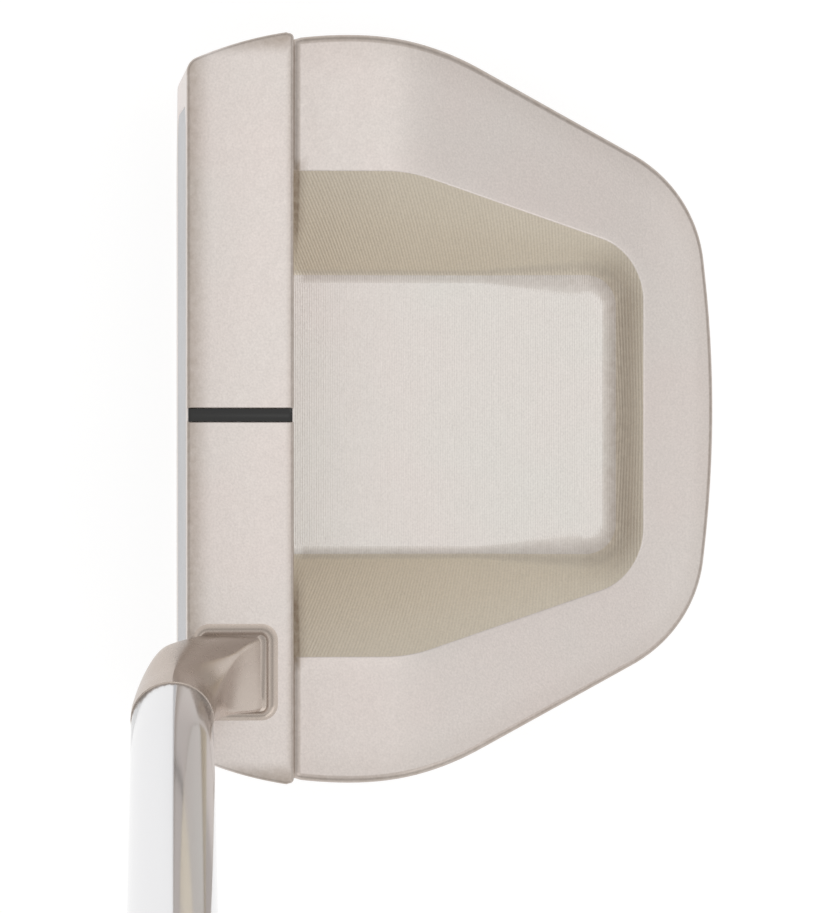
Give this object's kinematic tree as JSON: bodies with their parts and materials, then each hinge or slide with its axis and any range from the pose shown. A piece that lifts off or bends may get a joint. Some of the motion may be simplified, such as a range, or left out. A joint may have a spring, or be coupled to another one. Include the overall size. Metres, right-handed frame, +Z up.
{
  "type": "mallet putter",
  "caption": "Right-handed mallet putter: milled head with a low open ring behind a straight bar, bent flow neck at the heel, stepped steel shaft and flat-front rubber grip.",
  "frame": {"origin": "centre line of the sole plate where the club rests on the ground, straight below the sighting line", "axes": "+Z up from the ground, -Y the way the face looks and the ball goes, +Y towards the back of the mallet, +X towards the heel and the player, -X towards the toe"},
  "size_m": [0.3896, 0.0869, 0.8263],
  "materials": {
    "head_steel": "fine bead-blasted steel with a warm champagne tone, milled lines in the trough",
    "milled_insert": "fine face-milled",
    "damping_pad": "matte elastomer",
    "black_enamel": "satin black enamel",
    "sole_aluminium": "satin anodised",
    "screw_steel": "turned steel",
    "weight_steel": "turned steel",
    "seal_rubber": "moulded rubber",
    "neck_steel": "fine bead-blasted steel with a warm champagne tone",
    "shaft_chrome": "bright chrome plate",
    "plug_nylon": "moulded nylon",
    "tape_paper": "crepe paper tape",
    "grip_rubber": "matte moulded rubber with a fine pattern"
  },
  "bodies": {
    "club": {"head_body": "head_steel", "face_insert": "milled_insert", "insert_pad": "damping_pad", "sight_line_fill": "black_enamel", "sole_plate": "sole_aluminium", "sole_screw_1": "screw_steel", "sole_screw_2": "screw_steel", "sole_screw_3": "screw_steel", "sole_screw_4": "screw_steel", "flow_neck": "neck_steel", "shaft": "shaft_chrome", "shaft_tip_plug": "plug_nylon", "grip_tape": "tape_paper", "grip": "grip_rubber", "grip_cap": "grip_rubber"},
    "toe_weight_seal": {"toe_weight_o_ring": "seal_rubber"},
    "toe_weight_screw": {"toe_weight": "weight_steel"},
    "heel_weight_seal": {"heel_weight_o_ring": "seal_rubber"},
    "heel_weight_screw": {"heel_weight": "weight_steel"}
  },
  "joints": [
    {"name": "toe_weight_travel", "type": "slide", "parent": "club", "child": "toe_weight_seal", "axis": [-0.2079, 0, -0.9781], "range_m": [0, 0.006]},
    {"name": "toe_weight_turn", "type": "hinge", "parent": "toe_weight_seal", "child": "toe_weight_screw", "pos_m": [-0.03886, 0.001, 0.00138], "axis": [-0.2079, 0, -0.9781], "range_deg": [0, 2160]},
    {"name": "heel_weight_travel", "type": "slide", "parent": "club", "child": "heel_weight_seal", "axis": [0.2079, 0, -0.9781], "range_m": [0, 0.006]},
    {"name": "heel_weight_turn", "type": "hinge", "parent": "heel_weight_seal", "child": "heel_weight_screw", "pos_m": [0.03714, 0.001, 0.00138], "axis": [0.2079, 0, -0.9781], "range_deg": [0, 2160]}
  ],
  "couplings": [
    {"joint": "toe_weight_turn", "follows": "toe_weight_travel", "rad_per_m": 6283.2},
    {"joint": "heel_weight_turn", "follows": "heel_weight_travel", "rad_per_m": 6283.2}
  ]
}
